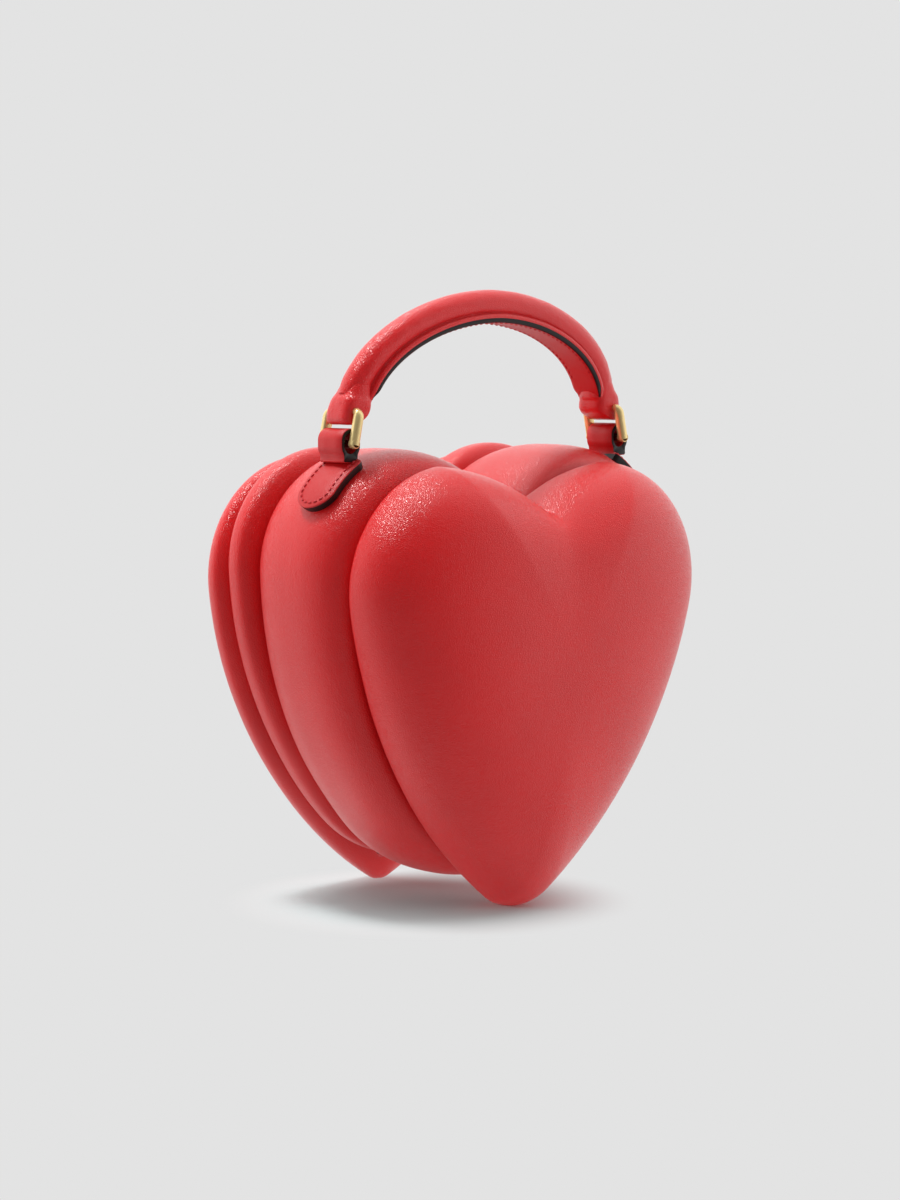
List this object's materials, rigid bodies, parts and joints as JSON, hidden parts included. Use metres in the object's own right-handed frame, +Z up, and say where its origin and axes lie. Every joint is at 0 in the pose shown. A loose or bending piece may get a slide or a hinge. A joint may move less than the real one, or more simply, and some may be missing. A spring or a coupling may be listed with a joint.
{
  "type": "heart shaped purse",
  "caption": "Padded heart shaped purse of stacked heart lobes that opens at a zip round its edge, with a rolled top handle on two screw shackles.",
  "frame": {"origin": "middle of the purse's outer box in X and Y, at the level of the two heart tips that it stands on", "axes": "+X across the purse to its right side as seen from the front heart, +Y from the front heart to the rear heart, +Z up"},
  "size_m": [0.1918, 0.1416, 0.2565],
  "materials": {
    "red_leather": "satin",
    "foam": "matte",
    "fibreboard": "matte",
    "tray_plastic": "matte",
    "lining_fabric": "matte",
    "zip_tape": "matte",
    "gold_metal": "polished",
    "steel": "brushed"
  },
  "bodies": {
    "case": {"front_heart_cover": "red_leather", "front_heart_padding": "foam", "front_panel": "fibreboard", "centre_lobe_cover": "red_leather", "centre_lobe_padding": "foam", "case_tray": "tray_plastic", "case_lining": "lining_fabric", "case_zip_tape": "zip_tape", "case_zip_teeth": "gold_metal", "zip_slider": "gold_metal", "case_hinge_loops": "red_leather", "hinge_pin": "steel", "left_tab": "red_leather", "right_tab": "red_leather"},
    "puller": {"zip_puller": "gold_metal"},
    "left_link": {"left_shackle": "gold_metal", "left_screw_pin": "gold_metal"},
    "handle": {"handle_roll": "red_leather", "handle_core": "foam", "handle_strap": "red_leather", "left_end_loop": "red_leather", "right_end_loop": "red_leather"},
    "right_link": {"right_shackle": "gold_metal", "right_screw_pin": "gold_metal"},
    "rear_case": {"rear_heart_cover": "red_leather", "rear_heart_padding": "foam", "rear_panel": "fibreboard", "narrow_lobe_cover": "red_leather", "narrow_lobe_padding": "foam", "rear_tray": "tray_plastic", "rear_lining": "lining_fabric", "rear_zip_tape": "zip_tape", "rear_zip_teeth": "gold_metal", "rear_hinge_loop": "red_leather"}
  },
  "joints": [
    {"name": "case_opening", "type": "hinge", "parent": "case", "child": "rear_case", "pos_m": [0, 0.02858, 0.018], "axis": [-1, 0, 0], "range_deg": [0, 35]},
    {"name": "left_shackle_swing", "type": "hinge", "parent": "case", "child": "left_link", "pos_m": [-0.075, -0.00852, 0.1945], "axis": [0, 1, 0], "range_deg": [-15, 15]},
    {"name": "handle_swing", "type": "hinge", "parent": "left_link", "child": "handle", "pos_m": [-0.07226, -0.00852, 0.20741], "axis": [0, 1, 0], "range_deg": [-16, 16]},
    {"name": "right_shackle_swing", "type": "hinge", "parent": "handle", "child": "right_link", "pos_m": [0.07226, -0.00852, 0.20741], "axis": [0, 1, 0], "range_deg": [-16, 16]},
    {"name": "puller_flip", "type": "hinge", "parent": "case", "child": "puller", "pos_m": [0.05217, 0.02858, 0.05853], "axis": [0, -1, 0], "range_deg": [-30, 100]}
  ],
  "couplings": [
    {"joint": "handle_swing", "follows": "left_shackle_swing", "ratio": -1.0386},
    {"joint": "right_shackle_swing", "follows": "left_shackle_swing", "ratio": 1.0409}
  ]
}
